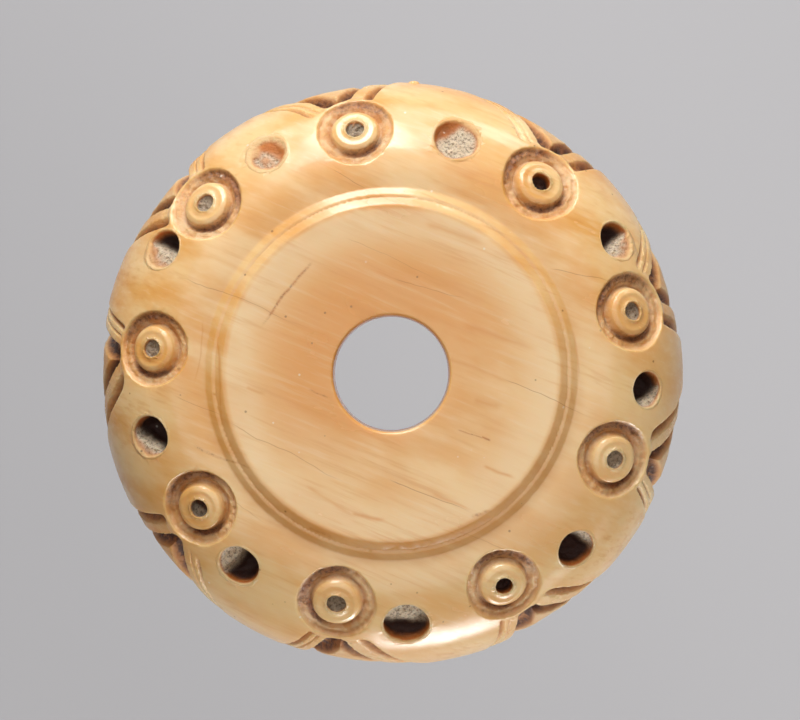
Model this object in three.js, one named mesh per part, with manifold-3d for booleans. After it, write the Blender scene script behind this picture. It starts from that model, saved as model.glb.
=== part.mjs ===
// A carved bone spindle whorl: a domed disc with a bore, a turned step around a flat centre, nine
// drilled ring-and-dot motifs, nine lobes with plain holes between them, and strapwork round the
// side. Millimetres, +Z up. The origin is the centre of the flat underside.

import * as THREE from 'three';
import { mergeVertices } from 'three/addons/utils/BufferGeometryUtils.js';
import Module from 'manifold-3d';

const wasm = await Module();
wasm.setup();

// The turned body.
const DIAMETER = 30;
const HEIGHT = 10;
const BORE_DIAMETER = 5.9;
const DISC_DIAMETER = 17.3;
const STEP_WIDTH = 0.5;
const STEP_DROP = 0.24;
const DOME_RADIUS = 5.2;
const BASE_DIAMETER = 26.4;
const BASE_EDGE = 0.5;

// Ring-and-dot motifs: a plunged ring drill leaves a round boss, with a drilled dot in it.
const MOTIFS = 9;
const RING_OUTER_DIAMETER = 4.1;
const RING_INNER_DIAMETER = 2.5;
const RING_DEPTH = 0.8;
const DOT_DIAMETER = 1.05;
const DOT_DEPTH = 0.9;

// Plain drilled holes in the lobes between the motifs.
const HOLE_DIAMETER = 2.06;
const HOLE_DEPTH = 1.7;

// Strapwork: each motif sends one strap down to each side, between a narrow groove along the
// lobe beside it and a wide channel round the panel under the motif. A strap's outer edge starts
// some degrees from its motif at STRAP_TOP, and runs straight on the unrolled side to the tip of
// the lobe, a share of the way to the next motif.
const STRAP_TOP = 7.65;
const RIGHT_START = 7.4;
const LEFT_START = -2.6;
const LOBE_TIP = 2.2;
const TIP_SHARE = 0.68;
const STRAP_WIDTH = 0.8;
const EDGE_GROOVE_RADIUS = 0.3;
const CHANNEL_RADIUS = 0.5;
const CHANNEL_TOP = 7;
const CHANNEL_FOOT = 1.6;

// The carver's uneven spacing, motif by motif and hole by hole: drift from the even pitch in
// degrees, distance of each centre from the axis, and how deep each hole was drilled.
const FIRST_MOTIF = -21.5;
const RING_DRIFT = [0.5, -4, -6.5, 0, -1, -4.5, -3.5, -2, -0.5];
const RING_DISTANCE = [12.2, 12.7, 12.4, 12.8, 12.9, 12.4, 12.1, 12.05, 12.25];
const HOLE_DRIFT = [-2, -8, -4, 1, -7, -4, -7, -5, -2];
const HOLE_DISTANCE = [13.2, 13.4, 12.4, 12.9, 13.3, 12.75, 12.5, 12.8, 13];
const HOLE_SHARE = [1, 0.8, 0.5, 0.3, 0.8, 1, 1, 1, 1];

// Facets of the turned and drilled shapes.
const BODY_SEGMENTS = 48;
const DOME_STEPS = 5;
const SIDE_STEPS = 3;
const RING_SEGMENTS = 16;
const HOLE_SEGMENTS = 12;
const DOT_SEGMENTS = 8;

const RADIUS = DIAMETER / 2;
const PITCH = 360 / MOTIFS;
const BASE_RADIUS = BASE_DIAMETER / 2;
const DOME_CENTRE = RADIUS - DOME_RADIUS;
const DOME_FOOT = HEIGHT - 2 * STEP_DROP - DOME_RADIUS;
const SIDE_BULGE = RADIUS - BASE_RADIUS - BASE_EDGE;

const radians = THREE.MathUtils.degToRad;
const degrees = THREE.MathUtils.radToDeg;

function point(radius, height) {
  return new THREE.Vector2(radius, height);
}

function arc(centreX, centreY, radiusX, radiusY, from, to, steps) {
  const start = radians(from);
  return new THREE.EllipseCurve(centreX, centreY, radiusX, radiusY, start, radians(to)).getPoints(steps);
}

// A turned shape about Z. The profile runs anticlockwise in radius and height.
function turned(profile, segments) {
  return new THREE.LatheGeometry(profile, segments).rotateX(Math.PI / 2);
}

function closedTurned(profile, segments) {
  return turned([...profile, profile[0]], segments);
}

function solid(geometry) {
  geometry.deleteAttribute('normal');
  geometry.deleteAttribute('uv');
  const merged = mergeVertices(geometry);
  const vertProperties = merged.attributes.position.array;
  const triVerts = new Uint32Array(merged.index.array);
  return new wasm.Manifold(new wasm.Mesh({ numProp: 3, vertProperties, triVerts }));
}

function turnedBody() {
  const bore = BORE_DIAMETER / 2;
  const disc = DISC_DIAMETER / 2;
  const rise = DOME_FOOT - BASE_EDGE;
  const profile = [
    point(bore, 0),
    ...arc(BASE_RADIUS, BASE_EDGE, BASE_EDGE, BASE_EDGE, -90, 0, 2),
    ...arc(RADIUS - SIDE_BULGE, DOME_FOOT, SIDE_BULGE, rise, -60, 0, SIDE_STEPS),
    ...arc(DOME_CENTRE, DOME_FOOT, DOME_RADIUS, DOME_RADIUS, 90 / DOME_STEPS, 88, DOME_STEPS - 1),
    point(disc + 2 * STEP_WIDTH, HEIGHT - 2 * STEP_DROP),
    point(disc + 1.3 * STEP_WIDTH, HEIGHT - STEP_DROP),
    point(disc + STEP_WIDTH, HEIGHT - STEP_DROP),
    point(disc + 0.3 * STEP_WIDTH, HEIGHT - STEP_DROP / 3),
    point(disc, HEIGHT),
    point(bore, HEIGHT),
  ];
  return solid(closedTurned(profile, BODY_SEGMENTS));
}

// Places a drill, which points down its own Z axis, square to the dome.
function onDome(geometry, distance, angle) {
  const tilt = Math.asin((distance - DOME_CENTRE) / DOME_RADIUS);
  geometry.rotateY(tilt);
  geometry.translate(distance, 0, DOME_FOOT + DOME_RADIUS * Math.cos(tilt));
  return geometry.rotateZ(radians(angle));
}

function ringDrill() {
  const inner = RING_INNER_DIAMETER / 2;
  const outer = RING_OUTER_DIAMETER / 2;
  const nose = (outer - inner) / 2;
  const floor = arc(inner + nose, nose - RING_DEPTH, nose, nose, 180, 360, 2);
  return closedTurned([point(inner, 1), ...floor, point(outer, 1)], RING_SEGMENTS);
}

// A drill with a blunt conical point.
function drill(diameter, depth, segments) {
  const radius = diameter / 2;
  const shoulder = 0.3 * radius - depth;
  return turned([point(0, -depth), point(radius, shoulder), point(radius, 1.2), point(0, 1.2)], segments);
}

function ringAngle(motif) {
  const turns = Math.floor(motif / MOTIFS);
  return FIRST_MOTIF + motif * PITCH + RING_DRIFT[motif - turns * MOTIFS];
}

function holeAngle(lobe) {
  return FIRST_MOTIF + (lobe + 0.5) * PITCH + HOLE_DRIFT[lobe];
}

// Distance of the side or dome from the axis at a height.
function surfaceDistance(height) {
  const rise = height - DOME_FOOT;
  if (rise > 0) return DOME_CENTRE + Math.sqrt(DOME_RADIUS ** 2 - rise ** 2);
  return RADIUS - SIDE_BULGE + SIDE_BULGE * Math.sqrt(1 - (rise / (DOME_FOOT - BASE_EDGE)) ** 2);
}

function gapAfter(motif) {
  return ringAngle(motif + 1) - ringAngle(motif);
}

// Lines on the unrolled side: degrees from a motif at STRAP_TOP, and degrees per millimetre down.
function edgeLine(offset, tipAngle) {
  return { offset, slope: (tipAngle - offset) / (STRAP_TOP - LOBE_TIP) };
}

function rightEdge(motif) {
  return edgeLine(RIGHT_START, TIP_SHARE * gapAfter(motif));
}

function leftEdge(motif) {
  return edgeLine(LEFT_START, (TIP_SHARE - 1) * gapAfter(motif - 1));
}

function angleOn(line, height) {
  return line.offset + line.slope * (STRAP_TOP - height);
}

// The middle of the channel on the other side of the strap, towards the panel under the motif.
function channelLine(line) {
  const lean = Math.atan(radians(line.slope) * RADIUS);
  const across = (STRAP_WIDTH + CHANNEL_RADIUS) / Math.cos(lean) / RADIUS;
  return { offset: line.offset - Math.sign(line.slope) * degrees(across), slope: line.slope };
}

// Round groove along a line, sunk in the side from one height down to another.
function groove(line, motif, radius, top, foot) {
  const points = [];
  for (let step = 0; step <= 3; step += 1) {
    const height = THREE.MathUtils.lerp(top, foot, step / 3);
    const turn = radians(ringAngle(motif) + angleOn(line, height));
    const distance = surfaceDistance(height);
    points.push(new THREE.Vector3(distance * Math.cos(turn), distance * Math.sin(turn), height));
  }
  const section = new THREE.Shape().absarc(0, 0, radius, 0, 2 * Math.PI);
  const extrudePath = new THREE.CatmullRomCurve3(points);
  return solid(new THREE.ExtrudeGeometry(section, { curveSegments: 3, steps: 3, extrudePath }));
}

function strapwork(body) {
  let carved = body;
  for (let motif = 0; motif < MOTIFS; motif += 1) {
    for (const line of [rightEdge(motif), leftEdge(motif)]) {
      const edge = groove(line, motif, EDGE_GROOVE_RADIUS, STRAP_TOP + 0.2, LOBE_TIP);
      const channel = groove(channelLine(line), motif, CHANNEL_RADIUS, CHANNEL_TOP, CHANNEL_FOOT);
      carved = carved.subtract(edge).subtract(channel);
    }
  }
  return carved;
}

function drillings(body) {
  let drilled = body;
  for (let i = 0; i < MOTIFS; i += 1) {
    const ring = onDome(ringDrill(), RING_DISTANCE[i], ringAngle(i));
    const dot = onDome(drill(DOT_DIAMETER, DOT_DEPTH, DOT_SEGMENTS), RING_DISTANCE[i], ringAngle(i));
    const deep = HOLE_DEPTH * HOLE_SHARE[i];
    const hole = onDome(drill(HOLE_DIAMETER, deep, HOLE_SEGMENTS), HOLE_DISTANCE[i], holeAngle(i));
    drilled = drilled.subtract(solid(ring)).subtract(solid(dot)).subtract(solid(hole));
  }
  return drilled;
}

function whorl() {
  const carved = drillings(strapwork(turnedBody())).getMesh();
  const geometry = new THREE.BufferGeometry();
  geometry.setAttribute('position', new THREE.BufferAttribute(carved.vertProperties, 3));
  geometry.setIndex(new THREE.BufferAttribute(carved.triVerts, 1));
  geometry.computeVertexNormals();
  const bone = new THREE.MeshStandardMaterial({ color: 0xe6cfa3, roughness: 0.38, metalness: 0 });
  const mesh = new THREE.Mesh(geometry, bone);
  mesh.name = 'whorl';
  return mesh;
}

export default new THREE.Group().add(whorl());
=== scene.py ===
"""Looks of the carved bone spindle whorl: its finely carved surface, old polished bone, studio."""

import math
from collections import namedtuple

import bpy
import numpy as np
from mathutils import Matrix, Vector


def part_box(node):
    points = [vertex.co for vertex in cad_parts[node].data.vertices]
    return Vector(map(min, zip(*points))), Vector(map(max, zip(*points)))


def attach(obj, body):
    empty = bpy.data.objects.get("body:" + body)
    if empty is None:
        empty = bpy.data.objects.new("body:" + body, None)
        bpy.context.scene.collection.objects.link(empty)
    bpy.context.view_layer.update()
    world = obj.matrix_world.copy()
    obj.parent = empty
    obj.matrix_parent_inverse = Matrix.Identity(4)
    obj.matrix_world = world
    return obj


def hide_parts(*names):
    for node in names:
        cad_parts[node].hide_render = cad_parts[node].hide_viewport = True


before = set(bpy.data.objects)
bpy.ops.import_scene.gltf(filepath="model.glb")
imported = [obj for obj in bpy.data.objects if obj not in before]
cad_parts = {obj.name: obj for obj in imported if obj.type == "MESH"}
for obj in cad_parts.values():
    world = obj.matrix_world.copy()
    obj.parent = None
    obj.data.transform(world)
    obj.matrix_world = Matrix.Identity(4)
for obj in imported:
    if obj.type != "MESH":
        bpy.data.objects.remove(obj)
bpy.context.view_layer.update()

MM = 0.001

# ---------------------------------------------------------------------------------------------
# Driving dimensions, in millimetres and degrees
# ---------------------------------------------------------------------------------------------

LOW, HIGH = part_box("whorl")
HEIGHT = (HIGH[2] - LOW[2]) / MM
RADIUS = max(HIGH[0], HIGH[1]) / MM
BORE = 2.95
BORE_EDGE = 0.15

DISC = 8.65
STEP_DROP = 0.24
DOME_RADIUS = 5.2
BASE_RADIUS = 13.2
BASE_EDGE = 0.5
DOME_CENTRE = RADIUS - DOME_RADIUS
DOME_FOOT = HEIGHT - 2 * STEP_DROP - DOME_RADIUS
SIDE_BULGE = RADIUS - BASE_RADIUS - BASE_EDGE

MOTIFS = 9
PITCH = 360 / MOTIFS
FIRST_MOTIF = -21.5

# One line for each ring-and-dot motif, anticlockwise: drift from the even pitch in degrees,
# distance from the axis, size against the usual one, which of its straps lies uppermost, depths
# of the ring and of the dot, the directions in degrees of the painted shade, with some dirt, on the
# ring's outer wall and past its boss, and the direction in which dust lies in the dot, and from where.
Ring = namedtuple("Ring", "drift distance size uppermost depth dot_depth dirt dust")
RINGS = [
    Ring(0.5, 12.2, 1.04, "left", 0.55, 0.34, (95, 290), (0, -1.0)),
    Ring(-4.0, 12.7, 1.05, "right", 0.50, 0.36, (125, 275), (0, -1.0)),
    Ring(-6.5, 12.4, 1.06, "right", 0.42, 0.75, (125, 280), (0, 1.0)),
    Ring(0.0, 12.6, 1.02, "right", 0.40, 0.30, (80, 290), (0, -1.0)),
    Ring(-1.0, 12.9, 1.04, "left", 0.45, 0.30, (45, 300), (0, -1.0)),
    Ring(-4.5, 12.25, 1.00, "left", 0.52, 0.34, (100, 265), (0, -1.0)),
    Ring(-3.5, 11.95, 1.02, "right", 0.62, 0.65, (110, 290), (235, -0.25)),
    Ring(-2.0, 12.05, 1.06, "left", 0.48, 0.45, (125, 200), (120, -0.5)),
    Ring(-0.5, 12.25, 1.02, "left", 0.52, 0.85, (90, 250), (0, 1.0)),
]
BOSS = 1.16
RING_OUTER = 1.98
DOT_RADIUS = 0.45
SHELF_START = 1.34
SHELF_END = 1.58
SHELF_RISE = 0.42
OUTER_WALL = 0.24
RING_LEAN = 0.9
RING_REACH = 1.6

# One line for each plain hole: drift, distance, depth, how far its drill leans round the whorl
# in degrees, size, the direction in which its rough floor rises, by how much, and from where.
Hole = namedtuple("Hole", "drift distance depth lean size rise_turn rise rise_start")
HOLES = [
    Hole(-2.0, 13.1, 1.6, 6, 0.88, -55, 1.2, -0.35),
    Hole(-8.0, 13.4, 1.2, 4, 0.98, -50, 0.95, -0.6),
    Hole(-4.0, 12.4, 0.50, 0, 1.12, -60, 0.15, -0.8),
    Hole(1.0, 12.9, 0.26, 0, 1.02, -110, 0.05, -0.4),
    Hole(-7.0, 13.3, 1.2, -6, 1.00, -120, 0.9, -0.7),
    Hole(-4.0, 12.75, 1.6, -6, 1.02, -125, 1.2, -0.5),
    Hole(-7.0, 12.5, 1.5, 6, 1.02, 140, 1.0, -0.3),
    Hole(-5.0, 12.8, 1.1, 0, 1.12, 90, 0.5, -0.2),
    Hole(-2.0, 13.0, 1.3, -4, 0.96, 50, 0.85, 0.1),
]
HOLE_RADIUS = 1.03
HOLE_TAPER = 0.12
HOLE_LEAN = 0.85

# Strapwork round the side: heights of its top and of the lobes' tips, where the straps on each
# side of a motif start, in degrees, the tip's share of the pitch, and the straps' section.
STRAP_TOP = 7.65
RIGHT_START = 9.3
LEFT_START = -3.6
LOBE_TIP = 2.2
TIP_SHARE = 0.70
STRAP_WIDTH = 0.85
CHANNEL_WIDTH = 0.95
CHANNEL_DEPTH = 0.75
PANEL_DEPTH = 0.16
BASE_BAND = 0.85

# Where strapwork can lie, where it fades out at the top, and where it is dirty enough to show.
CARVED_RADIUS = 12.5
CARVED_HEIGHT = 8.6
CARVED_REACH = 1.2
FADE_START = 7.3
FADE_END = 7.9
DIRTY_RADIUS = 12.8
DIRTY_HEIGHT = 8.2

# A flake stands a little proud of the side: its centre, half length, half height and thickness.
FLAKE = (1.15, 14.93, 4.9)
FLAKE_LENGTH = 2.4
FLAKE_HEIGHT = 2
FLAKE_THICKNESS = 0.12

# The bone's grain, against the X axis.
GRAIN = math.radians(-23)

# Marks on the face, each from a starting point: X, Y, length, direction in degrees, half width
# and strength. Cracks and stains are thin and brown, the amber ones soft.
CRACKS = [
    (-10.8, 5.0, 7.0, -22, 0.035, 0.45),
    (-8.4, -2.3, 7.2, -28, 0.04, 0.45),
    (-11.0, -1.0, 3.0, -25, 0.035, 0.40),
    (-0.2, -5.2, 4.8, -24, 0.045, 0.60),
    (5.6, -0.2, 4.9, -24, 0.04, 0.60),
    (8.0, 5.4, 3.4, -14, 0.04, 0.50),
    (0.0, 4.9, 4.2, -17, 0.035, 0.40),
    (-3.0, 10.4, 2.2, -30, 0.04, 0.55),
    (-2.5, 6.9, 5.5, -24, 0.035, 0.30),
    (3.2, -8.0, 4.0, -20, 0.04, 0.35),
    (-9.2, -5.6, 3.6, -35, 0.04, 0.30),
]
STAINS = [
    (-3.95, 5.75, 4.4, 232, 0.13, 0.85),
    (-10.1, -3.6, 3.4, -22, 0.11, 0.70),
    (-4.2, -0.75, 1.3, -18, 0.08, 0.60),
    (3.3, -2.85, 1.6, -18, 0.06, 0.60),
    (4.55, -3.2, 0.55, -20, 0.09, 1.00),
    (-4.2, -7.7, 1.6, -30, 0.14, 0.55),
    (4.0, -7.3, 1.3, 20, 0.16, 0.60),
]
AMBER = [
    (3.5, 2.5, 4.4, -19, 0.28, 0.60),
    (2.6, 0.9, 4.4, -21, 0.20, 0.50),
    (-2.1, -7.0, 2.0, -12, 0.20, 0.80),
    (4.6, -4.6, 1.9, -23, 0.14, 0.85),
    (4.1, -1.3, 1.7, -10, 0.35, 0.60),
    (2.0, -6.0, 2.4, -26, 0.14, 0.60),
    (-7.4, -0.7, 1.2, -20, 0.16, 0.60),
    (1.6, 7.7, 3.6, -20, 0.25, 0.60),
    (-4.4, -5.6, 3.4, -32, 0.20, 0.50),
    (9.2, 2.2, 2.6, -82, 0.10, 0.50),
    (-9.5, 2.8, 3.6, -97, 0.07, 0.60),
    (-8.9, 1.9, 4.6, -86, 0.12, 0.80),
    (6.2, 6.4, 2.6, -40, 0.20, 0.35),
    (-9.6, 6.0, 3.0, -20, 0.25, 0.35),
]

# No ring or hole changes the surface farther than this from its centre.
FEATURE_REACH = 3.2

# Fineness of the surface: pitch of the sampling grid, and triangles left after thinning.
GRID = 0.1
MOST_TRIANGLES = 190_000


def ring_angle(motif):
    turns, index = divmod(motif, MOTIFS)
    return FIRST_MOTIF + (index + turns * MOTIFS) * PITCH + RINGS[index].drift


def hole_angle(lobe):
    return FIRST_MOTIF + (lobe + 0.5) * PITCH + HOLES[lobe].drift


# ---------------------------------------------------------------------------------------------
# Small numerical helpers
# ---------------------------------------------------------------------------------------------


def smooth_step(x, low, high):
    t = np.clip((x - low) / (high - low), 0, 1)
    return t * t * (3 - 2 * t)


def smooth_max(a, b, blend):
    h = np.clip(0.5 + 0.5 * (a - b) / blend, 0, 1)
    return b + (a - b) * h + blend * h * (1 - h)


class Noise:
    """Smooth repeatable noise between -1 and 1, from a small table of random values."""

    SIZE = 32

    def __init__(self, seed):
        self.table = np.random.RandomState(seed).uniform(-1, 1, (self.SIZE,) * 3).astype(np.float32)

    def __call__(self, x, y, z, scale):
        cells, parts = [], []
        for value in np.broadcast_arrays(x, y, z):
            scaled = value / scale + 100
            cell = np.floor(scaled).astype(np.int32)
            part = (scaled - cell).astype(np.float32)
            cells.append(cell)
            parts.append(part * part * (3 - 2 * part))
        total = 0
        for corner in range(8):
            weight = 1
            index = []
            for axis in range(3):
                up = corner >> axis & 1
                weight = weight * (parts[axis] if up else 1 - parts[axis])
                index.append((cells[axis] + up) % self.SIZE)
            total = total + weight * self.table[tuple(index)]
        return total


wobble = Noise(7)
roughness = Noise(11)

# ---------------------------------------------------------------------------------------------
# The turned body: signed distance to its profile, tabled over radius and height
# ---------------------------------------------------------------------------------------------


def arc(centre, size, start, end, steps):
    turn = np.radians(np.linspace(start, end, steps + 1))
    return np.stack([centre[0] + size[0] * np.cos(turn), centre[1] + size[1] * np.sin(turn)], 1)


def turned_profile():
    """Radius and height of the turned body's outline, anticlockwise from the bore's foot."""
    rim = (BORE_EDGE, BORE_EDGE)
    side_rise = DOME_FOOT - BASE_EDGE
    step = np.array([
        (DISC + 0.84, HEIGHT - 2.0 * STEP_DROP), (DISC + 0.76, HEIGHT - 1.92 * STEP_DROP),
        (DISC + 0.49, HEIGHT - 1.18 * STEP_DROP), (DISC + 0.36, HEIGHT - 1.08 * STEP_DROP),
        (DISC + 0.29, HEIGHT - 1.12 * STEP_DROP), (DISC + 0.23, HEIGHT - 0.90 * STEP_DROP),
        (DISC - 0.05, HEIGHT - 0.10 * STEP_DROP), (DISC - 0.13, HEIGHT),
    ])
    return np.concatenate([
        arc((BORE + BORE_EDGE, BORE_EDGE), rim, 180, 270, 4),
        arc((BASE_RADIUS, BASE_EDGE), (BASE_EDGE, BASE_EDGE), -90, 0, 8),
        arc((RADIUS - SIDE_BULGE, DOME_FOOT), (SIDE_BULGE, side_rise), -60, 0, 16),
        arc((DOME_CENTRE, DOME_FOOT), (DOME_RADIUS, DOME_RADIUS), 2, 88, 44),
        step,
        arc((BORE + BORE_EDGE, HEIGHT - BORE_EDGE), rim, 90, 180, 4),
    ])


class TurnedBody:
    STEP = 0.025

    def __init__(self):
        self.low = (1.0, -1.5)
        radii = self.low[0] + self.STEP * np.arange(int((RADIUS + 1.5) / self.STEP))
        heights = self.low[1] + self.STEP * np.arange(int((HEIGHT + 3) / self.STEP))
        radius, height = np.meshgrid(radii, heights, indexing="ij")
        outline = turned_profile()
        nearest = np.full(radius.shape, 1e9)
        inside = np.zeros(radius.shape, bool)
        for (r0, z0), (r1, z1) in zip(outline, np.roll(outline, -1, 0)):
            dr, dz = r1 - r0, z1 - z0
            along = np.clip(((radius - r0) * dr + (height - z0) * dz) / (dr * dr + dz * dz), 0, 1)
            gap = (radius - r0 - along * dr) ** 2 + (height - z0 - along * dz) ** 2
            nearest = np.minimum(nearest, gap)
            if dz:
                crosses = (z0 > height) != (z1 > height)
                inside ^= crosses & (radius < r0 + (height - z0) / dz * dr)
        self.table = (np.sqrt(nearest) * np.where(inside, -1, 1)).astype(np.float32)

    def __call__(self, radius, height):
        columns, rows = self.table.shape
        u = np.clip((radius - self.low[0]) / self.STEP, 0, columns - 1.01)
        v = np.clip((height - self.low[1]) / self.STEP, 0, rows - 1.01)
        i, j = u.astype(np.int32), v.astype(np.int32)
        u, v = (u - i).astype(np.float32), (v - j).astype(np.float32)
        table = self.table
        near = table[i, j] * (1 - u) + table[i + 1, j] * u
        far = table[i, j + 1] * (1 - u) + table[i + 1, j + 1] * u
        return near * (1 - v) + far * v


turned_body = TurnedBody()


def body_distance(x, y, z):
    """Distance to the turned body, worn a little uneven. Negative inside."""
    radius = np.sqrt(x * x + y * y)
    uneven = 0.02 * wobble(x, y, z, 3.1) + 0.008 * wobble(x, y, z, 1.1)
    body = turned_body(radius, z) - uneven * smooth_step(radius, BORE + 0.5, BORE + 2)
    along, out, up = x - FLAKE[0], y - FLAKE[1], z - FLAKE[2]
    reach = np.sqrt((along / FLAKE_LENGTH) ** 2 + out ** 2 + (up / FLAKE_HEIGHT) ** 2)
    return np.minimum(body, reach - FLAKE_THICKNESS)


# ---------------------------------------------------------------------------------------------
# Strapwork: depth of the carving round the side
# ---------------------------------------------------------------------------------------------

MM_PER_DEGREE = math.radians(1) * RADIUS


def strap_line(motif, side):
    """Offset and slope, in degrees and degrees per millimetre down, of a strap's outer edge."""
    drop = STRAP_TOP - LOBE_TIP
    if side == "right":
        tip = TIP_SHARE * (ring_angle(motif + 1) - ring_angle(motif))
        return RIGHT_START, (tip - RIGHT_START) / drop
    tip = (TIP_SHARE - 1) * (ring_angle(motif) - ring_angle(motif - 1))
    return LEFT_START, (tip - LEFT_START) / drop


def groove_shape(across, middle, half_width, depth):
    """Rounded groove centred at a distance across the strap."""
    t = np.clip(np.abs(across - middle) / half_width, 0, 1)
    return depth * (1 - t * t) ** 1.5


def strap_depth(across, upper):
    """Depth below the side, by distance inwards from the strap's outer edge."""
    channel_end = STRAP_WIDTH + CHANNEL_WIDTH
    if upper:
        edge = groove_shape(across, 0.02, 0.2, 0.36)
        midline = groove_shape(across, 0.47, 0.12, 0.16)
        rib = 0.06 * smooth_step(across, -0.05, 0.1)
        start = STRAP_WIDTH
    else:
        edge = groove_shape(across, 0.3, 0.42, 0.5)
        midline = groove_shape(across, 0.95, 0.09, 0.1)
        rib = 0.12 * smooth_step(across, -0.05, 0.2)
        start = STRAP_WIDTH + 0.3
    floor = (CHANNEL_DEPTH - PANEL_DEPTH) * (1 - smooth_step(across, channel_end, channel_end + 0.35))
    channel = smooth_step(across, start, start + 0.3) * (PANEL_DEPTH + floor)
    return np.maximum(np.maximum(edge, midline), np.maximum(rib, channel))


def carving_depth(x, y, z):
    """Depth of the strapwork below the turned side, in millimetres."""
    angle = np.degrees(np.arctan2(y, x))
    wave = 0.10 * wobble(x, y, z, 1.7)
    none = 9.0
    depth = np.full(np.broadcast(angle, z).shape, none, np.float32)
    for motif, ring in enumerate(RINGS):
        away = (angle - ring_angle(motif) + 180) % 360 - 180
        insides = []
        for side, sign in (("right", -1), ("left", 1)):
            offset, slope = strap_line(motif, side)
            lean = math.cos(math.atan(math.radians(slope) * RADIUS))
            line = offset + slope * (STRAP_TOP - z)
            insides.append(sign * (away - line) * MM_PER_DEGREE * lean + wave)
        right, left = insides
        within = np.minimum(right, left)
        own_right = strap_depth(right, ring.uppermost == "right")
        own_left = strap_depth(left, ring.uppermost == "left")
        own = np.where(right < left, own_right, own_left)
        depth = np.where(within > -0.3, np.minimum(depth, own), depth)
    depth = np.where(depth >= none, 0, depth)
    depth = depth * smooth_step(z, BASE_BAND, BASE_BAND + 0.35)
    chips = 0.06 * roughness(x, y, z, 0.27) + 0.08 * roughness(x, y, z, 0.7)
    return depth + chips * smooth_step(depth, 0.05, 0.35)


# ---------------------------------------------------------------------------------------------
# Drilled features
# ---------------------------------------------------------------------------------------------


def drill_frame(distance, angle, lean_out, lean_round):
    """Centre on the dome and three axes: round the whorl, up the dome, and out along the drill."""
    tilt = math.asin((distance - DOME_CENTRE) / DOME_RADIUS)
    turn = math.radians(angle)
    outward = Vector((math.cos(turn), math.sin(turn), 0))
    around = Vector((-math.sin(turn), math.cos(turn), 0))
    up = Vector((0, 0, 1))
    centre = outward * distance + up * (DOME_FOOT + DOME_RADIUS * math.cos(tilt))
    lean = tilt * lean_out
    axis = outward * math.sin(lean) + up * math.cos(lean)
    axis = (axis + around * math.tan(math.radians(lean_round))).normalized()
    side = (around - axis * around.dot(axis)).normalized()
    return centre, side, axis.cross(side), axis


def local(frame_axes, x, y, z):
    centre, side, up, axis = frame_axes
    dx, dy, dz = x - centre[0], y - centre[1], z - centre[2]
    return (
        dx * side[0] + dy * side[1] + dz * side[2],
        dx * up[0] + dy * up[1] + dz * up[2],
        dx * axis[0] + dy * axis[1] + dz * axis[2],
    )


def ring_frame(motif):
    return drill_frame(RINGS[motif].distance, ring_angle(motif), RING_LEAN, 0)


def hole_frame(lobe):
    return drill_frame(HOLES[lobe].distance, hole_angle(lobe), HOLE_LEAN, HOLES[lobe].lean)


def ring_radius(motif, x, y, z):
    """Distance from a ring's axis, scaled so that every ring has the same radii."""
    u, v, w = local(ring_frame(motif), x, y, z)
    return np.sqrt(u * u + v * v) / RINGS[motif].size, w


def trough(rho):
    """Section of a ring's groove, 0 to 1: steep against the boss, a shelf, and an outer wall."""
    inner = smooth_step(rho, BOSS - 0.06, BOSS + 0.16)
    shelf = 1 - SHELF_RISE * smooth_step(rho, SHELF_START, SHELF_END)
    return inner * shelf * (1 - smooth_step(rho, RING_OUTER - OUTER_WALL, RING_OUTER))


def cut_ring(solid, x, y, z, motif):
    """A ring follows the dome, and its boss keeps the dome's surface."""
    ring = RINGS[motif]
    rho, w = ring_radius(motif, x, y, z)
    rho = rho + 0.02 * wobble(x, y, z, 0.8)
    rough = roughness(x, y, z, 0.3)
    fine = roughness(x, y, z, 0.16)
    shelf = smooth_step(rho, 1.35, 1.6) * (1 - smooth_step(rho, 1.8, 2.0))
    cut = trough(rho) * ring.depth * (1 + 0.10 * rough) + shelf * (0.035 * fine + 0.03 * rough)
    dish = groove_shape(rho, 0.74, 0.2, 0.04) + 0.13 * smooth_step(rho, 0.84, 1.24)
    dish = dish * (1 - smooth_step(rho, 1.24, 1.4))
    solid = solid + np.where(np.abs(w) < RING_REACH, cut + dish, 0)
    floor = -(w + ring.dot_depth + 0.10 * fine + 0.08 * rough)
    dot = smooth_max(rho - DOT_RADIUS + 0.03 * rough, floor, 0.1)
    return smooth_max(solid, -dot, 0.07)


def hole_radius(lobe, x, y, z):
    u, v, w = local(hole_frame(lobe), x, y, z)
    return np.sqrt(u * u + v * v) / HOLES[lobe].size, w


def hole_rise(lobe, x, y):
    """How far a hole's floor has risen, 0 to 1, across the hole."""
    centre = hole_frame(lobe)[0]
    turn = math.radians(HOLES[lobe].rise_turn)
    along = (x - centre[0]) * math.cos(turn) + (y - centre[1]) * math.sin(turn)
    start = HOLES[lobe].rise_start
    return smooth_step(along + 0.08 * roughness(x, y, 0 * x, 0.35), start, start + 0.9)


def cut_hole(solid, x, y, z, lobe):
    hole = HOLES[lobe]
    rho, w = hole_radius(lobe, x, y, z)
    rough = roughness(x, y, z, 0.4)
    fine = roughness(x, y, z, 0.2)
    lower = smooth_step(-w, 0.1, 0.5)
    rho = rho + 0.05 * wobble(x, y, z, 0.9) + lower * (0.05 * rough + 0.03 * fine)
    wall = rho - HOLE_RADIUS * (1 - HOLE_TAPER * smooth_step(-w, 0, hole.depth))
    floor = -(w + hole.depth - hole.rise * hole_rise(lobe, x, y) + 0.08 * rough + 0.05 * fine)
    return smooth_max(solid, -smooth_max(wall, floor, 0.3), 0.14)


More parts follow.
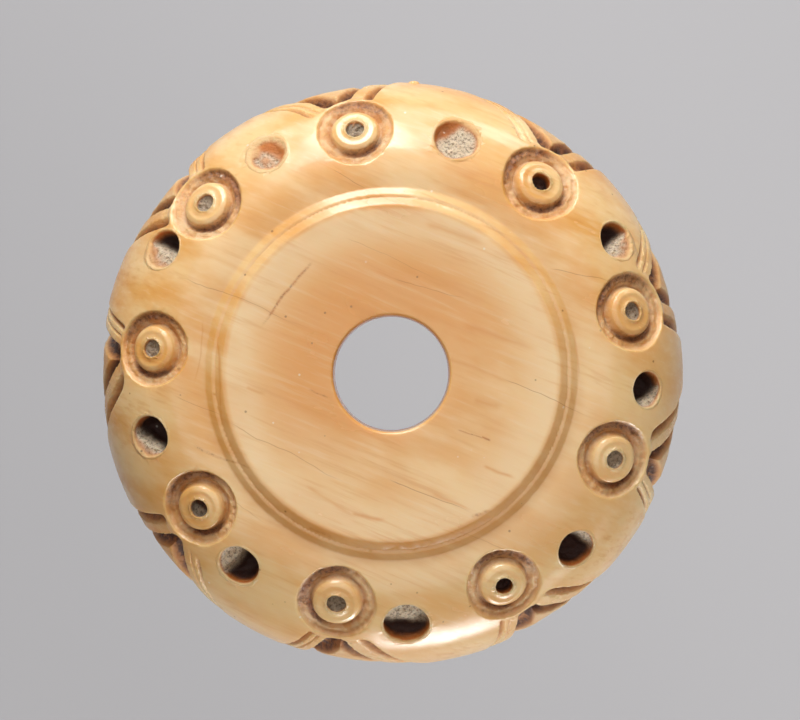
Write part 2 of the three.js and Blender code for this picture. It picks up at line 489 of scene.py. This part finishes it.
def whorl_distance(points):
    """Approximate distance to the finished surface at single points."""
    x, y, z = points[:, 0], points[:, 1], points[:, 2]
    solid = body_distance(x, y, z)
    side = (x * x + y * y > CARVED_RADIUS ** 2) & (z < CARVED_HEIGHT)
    solid[side] += carving_depth(x[side], y[side], z[side]) * rim_share(x[side], y[side], z[side])
    for cut, frame_of in ((cut_ring, ring_frame), (cut_hole, hole_frame)):
        for index in range(MOTIFS):
            centre = frame_of(index)[0]
            near = ((points - np.array(centre)) ** 2).sum(1) < FEATURE_REACH ** 2
            solid[near] = cut(solid[near], x[near], y[near], z[near], index)
    return solid


def rim_share(x, y, z):
    """Strapwork fades out at the top of the dome and at the lip of each ring."""
    share = 1 - smooth_step(z, FADE_START, FADE_END)
    for motif in range(MOTIFS):
        rho, w = ring_radius(motif, x, y, z)
        near = (rho < RING_OUTER + 0.6) & (np.abs(w) < 3)
        lip = smooth_step(rho, RING_OUTER + 0.02, RING_OUTER + 0.32)
        share = np.where(near, share * lip, share)
    return share


def sample_grid():
    """The same distance over a regular grid around the whorl."""
    margin = 2 * GRID
    across = np.arange(-RADIUS - margin, RADIUS + margin + GRID, GRID, dtype=np.float32)
    up = np.arange(-margin, HEIGHT + margin + GRID, GRID, dtype=np.float32)
    x, y = np.meshgrid(across, across, indexing="ij")
    radius = np.sqrt(x * x + y * y)
    solid = np.empty((len(across), len(across), len(up)), np.float32)
    for level, height in enumerate(up):
        solid[:, :, level] = body_distance(x, y, np.full_like(x, height))
    columns = np.nonzero((radius > CARVED_RADIUS) & (radius < RADIUS + 0.6))
    levels = np.nonzero((up > 0) & (up < CARVED_HEIGHT))[0]
    cx, cy = x[columns][:, None], y[columns][:, None]
    cz = np.broadcast_to(up[levels][None, :], (len(cx), len(levels)))
    block = solid[columns[0][:, None], columns[1][:, None], levels[None, :]]
    close = np.abs(block) < CARVED_REACH
    fx, fy, fz = (np.broadcast_to(v, block.shape)[close] for v in (cx, cy, cz))
    block[close] += carving_depth(fx, fy, fz) * rim_share(fx, fy, fz)
    solid[columns[0][:, None], columns[1][:, None], levels[None, :]] = block
    for cut, frame_of in ((cut_ring, ring_frame), (cut_hole, hole_frame)):
        for index in range(MOTIFS):
            centre = frame_of(index)[0]
            spans = []
            for axis, values in enumerate((across, across, up)):
                inside = np.nonzero(np.abs(values - centre[axis]) < FEATURE_REACH)[0]
                spans.append(slice(inside[0], inside[-1] + 1))
            gx, gy, gz = np.meshgrid(across[spans[0]], across[spans[1]], up[spans[2]], indexing="ij")
            part = solid[spans[0], spans[1], spans[2]]
            centre_gap = (gx - centre[0]) ** 2 + (gy - centre[1]) ** 2 + (gz - centre[2]) ** 2
            near = centre_gap < FEATURE_REACH ** 2
            part[near] = cut(part[near], gx[near], gy[near], gz[near], index)
            solid[spans[0], spans[1], spans[2]] = part
    return solid, np.array([across[0], across[0], up[0]])


# ---------------------------------------------------------------------------------------------
# Surface from the distance: one vertex in each crossed cell, one quad for each crossed edge
# ---------------------------------------------------------------------------------------------


def net_surface(solid, origin):
    inside = solid < 0
    count = np.zeros(tuple(n - 1 for n in solid.shape), np.int8)
    for corner in np.ndindex(2, 2, 2):
        count += inside[tuple(slice(c, n - 1 + c) for c, n in zip(corner, solid.shape))]
    cells = np.argwhere((count > 0) & (count < 8))
    number = np.full(count.shape, -1, np.int32)
    number[tuple(cells.T)] = np.arange(len(cells))
    total = np.zeros((len(cells), 3), np.float32)
    crossings = np.zeros(len(cells), np.float32)
    for axis in range(3):
        others = [a for a in range(3) if a != axis]
        for first, second in np.ndindex(2, 2):
            start = np.zeros(3, int)
            start[others[0]], start[others[1]] = first, second
            end = start.copy()
            end[axis] = 1
            a = solid[tuple((cells + start).T)]
            b = solid[tuple((cells + end).T)]
            hit = (a < 0) != (b < 0)
            share = a[hit] / (a[hit] - b[hit])
            place = np.broadcast_to(start, (hit.sum(), 3)).astype(np.float32)
            place[:, axis] += share
            total[hit] += place
            crossings[hit] += 1
    vertices = origin + GRID * (cells + total / crossings[:, None])
    quads = []
    for axis in range(3):
        others = [a for a in range(3) if a != axis]
        low = [slice(1, n - 1) for n in solid.shape]
        low[axis] = slice(0, solid.shape[axis] - 1)
        high = list(low)
        high[axis] = slice(1, solid.shape[axis])
        a, b = inside[tuple(low)], inside[tuple(high)]
        edge = np.argwhere(a != b)
        leaving = a[tuple(edge.T)]
        edge += [0 if k == axis else 1 for k in range(3)]
        ring = []
        for first, second in ((-1, -1), (0, -1), (0, 0), (-1, 0)):
            cell = edge.copy()
            cell[:, others[0]] += first
            cell[:, others[1]] += second
            ring.append(number[tuple(cell.T)])
        quad = np.stack(ring, 1)
        flip = ~leaving if axis != 1 else leaving
        quad[flip] = quad[flip][:, ::-1]
        quads.append(quad)
    return vertices, np.concatenate(quads)


def settle(points, rounds):
    """Moves points onto the surface, and returns them with their outward normals."""
    points = np.asarray(points, np.float64)
    nudge = 0.02
    for turn in range(rounds + 1):
        value = whorl_distance(points)
        slope = np.stack([
            whorl_distance(points + step) - whorl_distance(points - step)
            for step in nudge * np.eye(3)
        ], 1) / (2 * nudge)
        size = np.maximum(np.linalg.norm(slope, axis=1), 0.3)[:, None]
        if turn < rounds:
            move = -value[:, None] * slope / size ** 2
            reach = np.linalg.norm(move, axis=1)[:, None]
            points = points + move * np.minimum(1, 0.5 * GRID / np.maximum(reach, 1e-9))
    return points, slope / np.linalg.norm(slope, axis=1)[:, None]


def mesh_from(vertices, faces, name):
    mesh = bpy.data.meshes.new(name)
    mesh.from_pydata([], [], [])
    mesh.vertices.add(len(vertices))
    mesh.vertices.foreach_set("co", (vertices * MM).astype(np.float32).ravel())
    size = faces.shape[1]
    mesh.loops.add(faces.size)
    mesh.loops.foreach_set("vertex_index", faces.astype(np.int32).ravel())
    mesh.polygons.add(len(faces))
    mesh.polygons.foreach_set("loop_start", np.arange(0, faces.size, size, dtype=np.int32))
    mesh.update(calc_edges=True)
    mesh.validate()
    return mesh


# ---------------------------------------------------------------------------------------------
# The whorl
# ---------------------------------------------------------------------------------------------


def feature_marks(points):
    """What the bone's finish needs to know at each vertex, as numbers from 0 to about 1."""
    x, y, z = points.T
    carved = (x * x + y * y > DIRTY_RADIUS ** 2) & (z < DIRTY_HEIGHT)
    marks = {
        "sunk": np.maximum(-body_distance(x, y, z), 0),
        "strap": smooth_step(carving_depth(x, y, z) * rim_share(x, y, z), 0.04, 0.3) * carved,
    }
    for name in ("groove", "painted_shade_and_dirt", "dot", "hole", "grit"):
        marks[name] = np.zeros(len(points))

    def raise_mark(name, where, value):
        marks[name] = np.where(where, np.maximum(marks[name], value), marks[name])

    patch = 0.5 + 0.5 * roughness(x, y, z, 0.45)
    for motif in range(MOTIFS):
        rho, w = ring_radius(motif, x, y, z)
        near = np.abs(w) < RING_REACH
        raise_mark("groove", near, trough(rho))
        centre = ring_frame(motif)[0]
        direction = np.degrees(np.arctan2(y - centre[1], x - centre[0]))
        # Painted shade with some dirt: dark arcs on the ring's outer wall and just past the boss, on the
        # sides the north light leaves in shade.
        outer, inner = RINGS[motif].dirt
        bands = ((outer, 80, 1.48, 1.86), (inner, 60, 1.16, 1.5))
        for middle, spread, low, high in bands:
            away = np.abs((direction - middle + 180) % 360 - 180)
            starts = smooth_step(rho, low - 0.1, low + 0.1)
            band = starts * (1 - smooth_step(rho, high - 0.1, high + 0.1))
            arc_share = 1 - smooth_step(away, spread * 0.4, spread)
            raise_mark("painted_shade_and_dirt", near, band * arc_share * (0.6 + 0.4 * patch))
        inside = 1 - smooth_step(rho, DOT_RADIUS + 0.02, DOT_RADIUS + 0.12)
        raise_mark("hole", near, inside)
        turn, start = RINGS[motif].dust
        turn = math.radians(turn)
        along = (x - centre[0]) * math.cos(turn) + (y - centre[1]) * math.sin(turn)
        raise_mark("dot", near, inside * smooth_step(along, start, start + 0.2))
    for lobe in range(MOTIFS):
        rho, w = hole_radius(lobe, x, y, z)
        near = (w < 0.6) & (w > -2.6)
        inside = 1 - smooth_step(rho, HOLE_RADIUS + 0.01, HOLE_RADIUS + 0.15)
        raise_mark("hole", near, inside)
        raise_mark("grit", near, inside * smooth_step(hole_rise(lobe, x, y), 0.2, 0.8))
    return marks


def make_whorl():
    vertices, quads = net_surface(*sample_grid())
    vertices, _ = settle(vertices, 2)
    mesh = mesh_from(vertices, quads, "whorl_surface")
    whorl = bpy.data.objects.new("carved_whorl", mesh)
    bpy.context.scene.collection.objects.link(whorl)
    triangles = 2 * len(quads)
    if triangles > MOST_TRIANGLES:
        thin = whorl.modifiers.new("thin", "DECIMATE")
        thin.ratio = MOST_TRIANGLES / triangles
        depsgraph = bpy.context.evaluated_depsgraph_get()
        thinned = bpy.data.meshes.new_from_object(whorl.evaluated_get(depsgraph))
        whorl.modifiers.clear()
        whorl.data = thinned
        mesh = thinned
    points = np.empty(len(mesh.vertices) * 3, np.float32)
    mesh.vertices.foreach_get("co", points)
    points, normals = settle(points.reshape(-1, 3) / MM, 2)
    mesh.vertices.foreach_set("co", (points * MM).astype(np.float32).ravel())
    mesh.polygons.foreach_set("use_smooth", np.ones(len(mesh.polygons), bool))
    mesh.update()
    mesh.normals_split_custom_set_from_vertices(normals.astype(np.float32))
    for name, values in feature_marks(points).items():
        mark = mesh.attributes.new(name, "FLOAT", "POINT")
        mark.data.foreach_set("value", values.astype(np.float32))
    return whorl


class Nodes:
    """Short calls for building a node tree."""

    def __init__(self, material):
        self.tree = material.node_tree
        self.tree.nodes.clear()

    def add(self, kind, inputs=None, **settings):
        node = self.tree.nodes.new("ShaderNode" + kind)
        for name, value in settings.items():
            setattr(node, name, value)
        for name, value in (inputs or {}).items():
            self.feed(node, name, value)
        return node

    def feed(self, node, name, value):
        socket = node.inputs[name]
        if isinstance(value, bpy.types.NodeSocket):
            self.tree.links.new(value, socket)
        else:
            socket.default_value = value

    def mark(self, name):
        return self.add("Attribute", attribute_name=name).outputs["Fac"]

    def math(self, operation, first, second=0.0, third=0.0, clamp=False):
        node = self.add("Math", operation=operation, use_clamp=clamp)
        for index, value in enumerate((first, second, third)):
            self.feed(node, index, value)
        return node.outputs[0]

    def range(self, value, low, high, to_low=0.0, to_high=1.0):
        node = self.add("MapRange", interpolation_type="SMOOTHSTEP")
        for name, number in zip(("Value", "From Min", "From Max", "To Min", "To Max"),
                                (value, low, high, to_low, to_high)):
            self.feed(node, name, number)
        return node.outputs["Result"]

    def mix(self, factor, first, second):
        node = self.add("Mix", data_type="RGBA")
        self.feed(node, 0, factor)
        self.feed(node, 6, first)
        self.feed(node, 7, second)
        return node.outputs[2]

    def noise(self, place, scale, detail, rough=0.55):
        inputs = {"Vector": place, "Scale": scale, "Detail": detail, "Roughness": rough}
        return self.add("TexNoise", inputs).outputs["Fac"]

    def times(self, *factors):
        """The product of two or more values."""
        total = factors[0]
        for factor in factors[1:]:
            total = self.math("MULTIPLY", total, factor)
        return total


def colour(red, green, blue):
    """An sRGB colour, 0 to 255, as linear RGBA."""
    shares = [value / 255 for value in (red, green, blue)]
    return (*[((c + 0.055) / 1.055) ** 2.4 if c > 0.04045 else c / 12.92 for c in shares], 1.0)


def bone_material():
    material = bpy.data.materials.new("old_bone")
    material.use_nodes = True
    n = Nodes(material)
    place = n.add("TexCoord").outputs["Object"]

    def along_grain(stretch):
        """Coordinates stretched along the bone's grain, which runs down to the right."""
        turned = {"Vector": place, "Rotation": (0, 0, GRAIN), "Scale": (stretch, 1, 2)}
        return n.add("Mapping", turned, vector_type="TEXTURE").outputs["Vector"]

    x, y, z = (n.add("SeparateXYZ", {"Vector": place}).outputs[axis] for axis in "XYZ")
    radius = n.math("SQRT", n.math("ADD", n.math("MULTIPLY", x, x), n.math("MULTIPLY", y, y)))

    # Clouds and streaks of the bone: amber at heart, paler round the edge of the disc.
    clouds = n.noise(along_grain(2.6), 420, 4, 0.55)
    tone = n.mix(n.range(clouds, 0.34, 0.66), colour(243, 206, 150), colour(230, 170, 94))
    heart = n.math("ADD", radius, n.math("MULTIPLY", n.math("SUBTRACT", clouds, 0.5), 5 * MM))
    upper_left = n.math("SUBTRACT", n.math("MULTIPLY", y, 0.85), n.math("MULTIPLY", x, 0.5))
    core = n.times(n.range(heart, 4.5 * MM, 7.8 * MM, 1, 0), n.range(upper_left, -6 * MM, 3 * MM, 0, 0.8))
    tone = n.mix(core, tone, colour(226, 158, 82))
    tone = n.mix(n.range(upper_left, -9 * MM, 0, 0.35, 0), tone, colour(247, 215, 164))
    edge = n.times(n.range(heart, 6.0 * MM, 7.8 * MM), n.range(radius, 8.25 * MM, 8.5 * MM, 1, 0))
    tone = n.mix(n.math("MULTIPLY", edge, 0.55), tone, colour(247, 218, 172))
    streaks = n.noise(along_grain(14), 3300, 3, 0.6)
    where = n.range(n.noise(along_grain(3), 330, 3), 0.4, 0.62, 0.25, 1)
    streaky = n.math("MULTIPLY", n.range(streaks, 0.48, 0.74, 0, 0.36), where)
    tone = n.mix(streaky, tone, colour(208, 134, 58))
    tone = n.mix(n.range(streaks, 0.28, 0.46, 0.18, 0), tone, colour(250, 228, 190))

    # Cracks, stains and amber marks, each in its own place.
    waver = n.math("SUBTRACT", n.noise(place, 420, 3, 0.45), 0.5)
    crumbs = n.range(n.noise(place, 5200, 4, 0.7), 0.46, 0.6)

    def marked(table, wander, softness):
        """Strength of the marks in a table, wavering by some millimetres, on the upper face."""
        total = 0.0
        for start_x, start_y, length, direction, half_width, strength in table:
            start = (start_x * MM, start_y * MM, 0)
            turn = (0, 0, math.radians(direction))
            here = n.add("Mapping", {"Vector": place, "Location": start, "Rotation": turn},
                         vector_type="TEXTURE")
            split = n.add("SeparateXYZ", {"Vector": here.outputs["Vector"]})
            across = n.math("MULTIPLY_ADD", waver, wander * MM, split.outputs["Y"])
            inner, outer = half_width * softness * MM, half_width * MM
            line = n.range(n.math("ABSOLUTE", across), inner, outer, strength, 0)
            along = split.outputs["X"]
            begins = n.range(along, 0, 0.15 * length * MM)
            ends = n.range(along, 0.7 * length * MM, length * MM, 1, 0)
            total = n.math("MAXIMUM", total, n.times(begins, ends, line))
        return n.math("MULTIPLY", total, n.range(z, 5 * MM, 6 * MM))

    tone = n.mix(marked(AMBER, 0.5, -0.6), tone, colour(214, 138, 54))
    crack = marked(CRACKS, 0.55, -0.5)
    tone = n.mix(n.math("MULTIPLY", crack, 1.5, clamp=True), tone, colour(160, 92, 36))
    spoiled = marked(STAINS, 0.5, -0.3)
    tone = n.mix(n.times(spoiled, n.range(streaks, 0.3, 0.6, 0.4, 1)), tone, colour(188, 108, 34))
    tone = n.mix(n.times(crumbs, 0.7, spoiled), tone, colour(112, 62, 22))

    # Darker colour in the step round the disc: wax and dirt all round, and painted shade that grows
    # towards the south side, which faces away from the north light.
    step = n.times(n.range(radius, 8.35 * MM, 8.6 * MM), n.range(radius, 9.1 * MM, 10.1 * MM, 1, 0))
    # Painted shade: stronger towards the south side.
    lower = n.range(n.math("SUBTRACT", n.math("MULTIPLY", x, 0.3), y), -4 * MM, 6 * MM, 0.1, 0.75)
    step = n.math("MULTIPLY", step, n.range(clouds, 0.3, 0.6, 0.5, 0.8))
    tone = n.mix(n.math("MULTIPLY", step, lower), tone, colour(202, 134, 62))

    # Colour in everything that is cut: patchy dirt and dust, and painted shade that darkens the deep
    # parts.
    sunk = n.mark("sunk")
    patchy = n.noise(place, 1500, 5, 0.65)
    groove = n.mark("groove")
    cut_tone = n.mix(n.range(patchy, 0.42, 0.58), colour(226, 184, 142), colour(208, 136, 66))
    tone = n.mix(n.math("MULTIPLY", groove, 0.75), tone, cut_tone)
    strap = n.mark("strap")
    # Painted shade with some dirt: the straps' channels turn darker amber with depth, and near black in
    # the deepest patches.
    tone = n.mix(n.times(strap, n.range(sunk, 0.08, 0.45, 0.2, 0.85)), tone, colour(198, 122, 50))
    deep = n.math("MULTIPLY", n.range(sunk, 0.22, 0.6), n.range(patchy, 0.40, 0.56, 0.2, 1.0))
    tone = n.mix(n.math("MULTIPLY", strap, deep), tone, colour(88, 42, 10))
    # Painted shade with some dirt: dark brown arcs round each ring, with dark crumbs in them.
    painted_shade_and_dirt = n.mark("painted_shade_and_dirt")
    tone = n.mix(n.math("MULTIPLY", painted_shade_and_dirt, 0.85), tone, colour(146, 70, 14))
    tone = n.mix(n.times(crumbs, 0.8, painted_shade_and_dirt), tone, colour(84, 38, 10))
    bits = n.range(n.noise(place, 6500, 4, 0.8), 0.47, 0.62, 0, 0.85)
    dust = n.mix(bits, colour(228, 210, 182), colour(120, 94, 66))
    hole = n.mark("hole")
    # Painted shade: hole and dot walls darken with depth from amber to near black.
    wall = n.mix(n.range(sunk, 0.15, 0.75), colour(206, 118, 34), colour(60, 22, 5))
    tone = n.mix(n.math("MULTIPLY", hole, n.range(sunk, 0.06, 0.22)), tone, wall)
    tone = n.mix(n.math("MULTIPLY", n.mark("grit"), n.range(sunk, 0.1, 0.3, 0, 0.95)), tone, dust)
    lint = n.mix(bits, colour(186, 168, 144), colour(84, 66, 48))
    tone = n.mix(n.math("MULTIPLY", n.mark("dot"), n.range(sunk, 0.1, 0.25, 0, 0.95)), tone, lint)

    # Pin pricks in some of the cells: dark pores, and pale specks that are painted glints.
    cells = n.add("TexVoronoi", {"Vector": place, "Scale": 1500.0, "Randomness": 1.0})
    pick = n.add("SeparateXYZ", {"Vector": cells.outputs["Color"]}).outputs["X"]
    prick = n.range(cells.outputs["Distance"], 0.06, 0.13, 1, 0)
    dark = n.math("MULTIPLY", prick, n.range(pick, 0.90, 0.92))
    light = n.math("MULTIPLY", prick, n.range(pick, 0.06, 0.08, 1, 0))
    tone = n.mix(n.math("MULTIPLY", dark, 0.6), tone, colour(120, 72, 32))
    # Painted glints: the pale specks.
    tone = n.mix(n.math("MULTIPLY", light, 0.5), tone, colour(255, 248, 232))

    # Fine relief: a little on the polished bone, more where it is cut.
    rough_cut = n.math("MAXIMUM", n.math("MAXIMUM", groove, strap), hole)
    mottle = n.noise(place, 2600, 4, 0.6)
    height = n.math("ADD", n.math("MULTIPLY", streaks, 0.5), n.math("MULTIPLY", mottle, 0.5))
    height = n.math("SUBTRACT", height, n.math("ADD", crack, n.math("MULTIPLY", dark, 0.5)))
    smooth = n.add("Bump", {"Height": height, "Strength": 0.3, "Distance": 0.02 * MM}).outputs["Normal"]
    cut_height = n.math("MULTIPLY", n.noise(place, 4200, 5, 0.7), rough_cut)
    bump = n.add("Bump", {"Height": cut_height, "Strength": 0.8, "Distance": 0.25 * MM, "Normal": smooth})
    polish = n.range(clouds, 0.3, 0.7, 0.18, 0.28)
    shader = n.add("BsdfPrincipled", {
        "Base Color": tone, "Normal": bump.outputs["Normal"], "IOR": 1.5, "Specular IOR Level": 0.85,
        "Roughness": n.math("ADD", polish, n.math("MULTIPLY", rough_cut, 0.25)),
        "Subsurface Weight": 0.4, "Subsurface Radius": (1.0, 0.66, 0.42), "Subsurface Scale": 0.7 * MM,
    })
    output = n.add("OutputMaterial")
    n.tree.links.new(shader.outputs[0], output.inputs[0])
    return material


whorl = make_whorl()
whorl.data.materials.append(bone_material())
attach(whorl, "root")
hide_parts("whorl")

# ---------------------------------------------------------------------------------------------
# Studio
# ---------------------------------------------------------------------------------------------

# A plain pale backdrop well below the whorl, so that no shadow reaches the picture.
FLOOR_SIZE = 2.4
FLOOR_DROP = 0.16
FLOOR_DARK = colour(181, 181, 185)
FLOOR_LIGHT = colour(194, 194, 198)
FLOOR_FADE = 0.035
FLOOR_TURN = math.radians(35)

# Softboxes, all aimed at the whorl: name, place, width and depth in metres, and power in watts.
SOFTBOXES = [
    ("overhead", (0.0, 0.05, 0.60), 0.80, 0.80, 1.8),
    ("upper_softbox", (-0.035, 0.25, 0.17), 0.13, 0.18, 0.72),
    ("upper_strip", (0.0, 0.30, 0.03), 0.42, 0.10, 0.50),
    ("lower_softbox", (0.06, -0.30, -0.03), 0.15, 0.10, 0.55),
    ("lower_strip", (0.12, -0.28, 0.03), 0.36, 0.08, 0.14),
]
ROOM_TINT = (1.0, 0.78, 0.52, 1)
ROOM_STRENGTH = 0.10

# The camera looks straight down. Its view's width is measured at the whorl's widest level.
VIEW_WIDTH = 41.2 * MM
CAMERA_HEIGHT = 0.31
CAMERA_X = 0.44 * MM
CAMERA_Y = 0.70 * MM
SENSOR_WIDTH = 36


def floor_material():
    """Pale grey, a little lighter towards the upper right."""
    material = bpy.data.materials.new("pale_floor")
    material.use_nodes = True
    n = Nodes(material)
    place = n.add("TexCoord").outputs["Object"]
    turned = n.add("Mapping", {"Vector": place, "Rotation": (0, 0, FLOOR_TURN)}, vector_type="TEXTURE")
    across = n.add("SeparateXYZ", {"Vector": turned.outputs["Vector"]}).outputs["X"]
    tone = n.mix(n.range(across, -FLOOR_FADE, FLOOR_FADE), FLOOR_DARK, FLOOR_LIGHT)
    shader = n.add("BsdfPrincipled", {"Base Color": tone, "Roughness": 0.9, "Specular IOR Level": 0.1})
    output = n.add("OutputMaterial")
    n.tree.links.new(shader.outputs[0], output.inputs[0])
    return material


def make_floor():
    bpy.ops.mesh.primitive_plane_add(size=FLOOR_SIZE, location=(0, 0, -FLOOR_DROP))
    floor = bpy.context.object
    floor.name = "floor"
    floor.data.materials.append(floor_material())
    return floor


def add_softbox(name, location, width, depth, power):
    light = bpy.data.lights.new(name, "AREA")
    light.shape = "RECTANGLE"
    light.size = width
    light.size_y = depth
    light.energy = power
    box = bpy.data.objects.new(name, light)
    box.location = location
    box.rotation_euler = Vector(location).to_track_quat("Z", "Y").to_euler()
    bpy.context.scene.collection.objects.link(box)


def light_room():
    world = bpy.data.worlds.new("studio")
    world.use_nodes = True
    background = world.node_tree.nodes["Background"]
    background.inputs["Color"].default_value = ROOM_TINT
    background.inputs["Strength"].default_value = ROOM_STRENGTH
    bpy.context.scene.world = world


def add_camera():
    lens = bpy.data.cameras.new("camera")
    lens.sensor_width = SENSOR_WIDTH
    lens.lens = SENSOR_WIDTH * CAMERA_HEIGHT / VIEW_WIDTH
    lens.clip_start = 0.01
    lens.clip_end = 5
    camera = bpy.data.objects.new("camera", lens)
    camera.location = (CAMERA_X, CAMERA_Y, CAMERA_HEIGHT + DOME_FOOT * MM)
    bpy.context.scene.collection.objects.link(camera)
    bpy.context.scene.camera = camera


make_floor()
for softbox in SOFTBOXES:
    add_softbox(*softbox)
light_room()
bpy.context.scene.view_settings.view_transform = "Standard"
add_camera()
